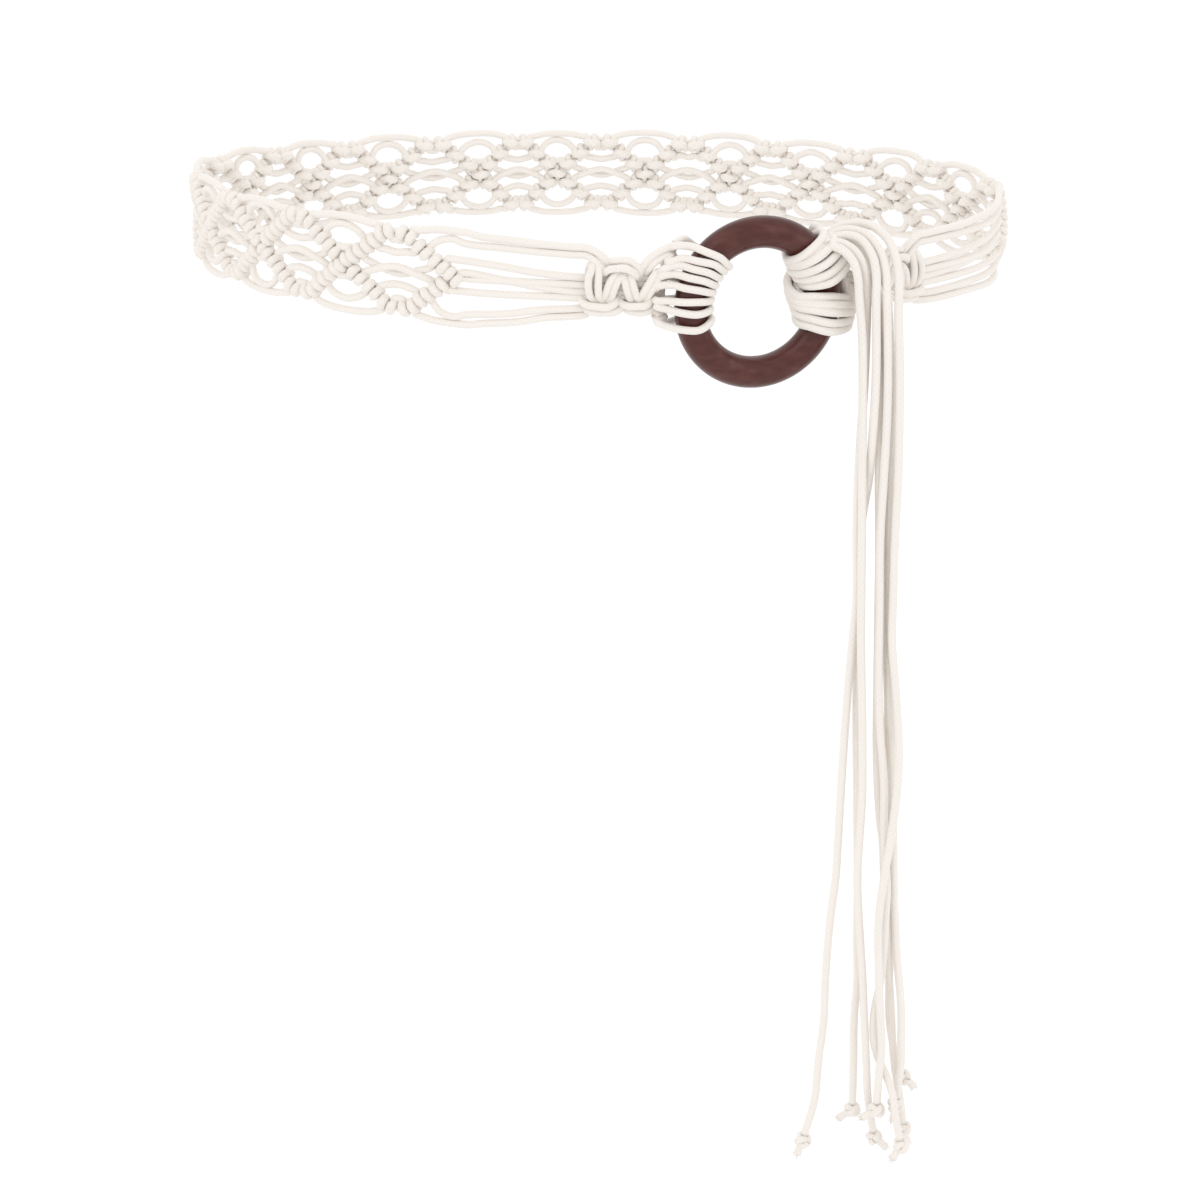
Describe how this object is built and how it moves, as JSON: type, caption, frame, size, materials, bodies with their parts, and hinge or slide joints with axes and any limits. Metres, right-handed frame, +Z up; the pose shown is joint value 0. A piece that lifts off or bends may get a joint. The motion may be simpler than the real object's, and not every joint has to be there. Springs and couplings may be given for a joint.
{
  "type": "macrame belt",
  "caption": "Macrame belt of knotted cotton cord: a net of diamonds fastened in a loop through a wooden ring, with long hanging cords that end in small knots.",
  "frame": {"origin": "middle of the waist loop, at the height of the belt line", "axes": "+Z up along the waist, -Y to the front where the ring is, +X to the wearer's left, which is the right of the picture"},
  "size_m": [0.3027, 0.2098, 0.3716],
  "materials": {
    "cotton_cord": "matte twisted cotton",
    "polished_wood": "gloss varnish"
  },
  "bodies": {
    "root": {"cow_hitch_1": "cotton_cord", "cow_hitch_2": "cotton_cord", "cow_hitch_3": "cotton_cord", "cow_hitch_4": "cotton_cord", "end_knot_1": "cotton_cord", "end_knot_2": "cotton_cord", "end_knot_3": "cotton_cord", "end_knot_4": "cotton_cord", "end_knot_5": "cotton_cord", "end_knot_6": "cotton_cord", "end_knot_7": "cotton_cord", "end_knot_8": "cotton_cord", "left_fan": "cotton_cord", "left_lead": "cotton_cord", "left_square_knots": "cotton_cord", "lower_turn": "cotton_cord", "net_band": "cotton_cord", "right_fan": "cotton_cord", "right_lead": "cotton_cord", "right_square_knots": "cotton_cord", "tail_cord_1": "cotton_cord", "tail_cord_2": "cotton_cord", "tail_cord_3": "cotton_cord", "tail_cord_4": "cotton_cord", "tail_cord_5": "cotton_cord", "tail_cord_6": "cotton_cord", "tail_cord_7": "cotton_cord", "tail_cord_8": "cotton_cord", "upper_turn": "cotton_cord", "wood_ring": "polished_wood"}
  },
  "joints": []
}
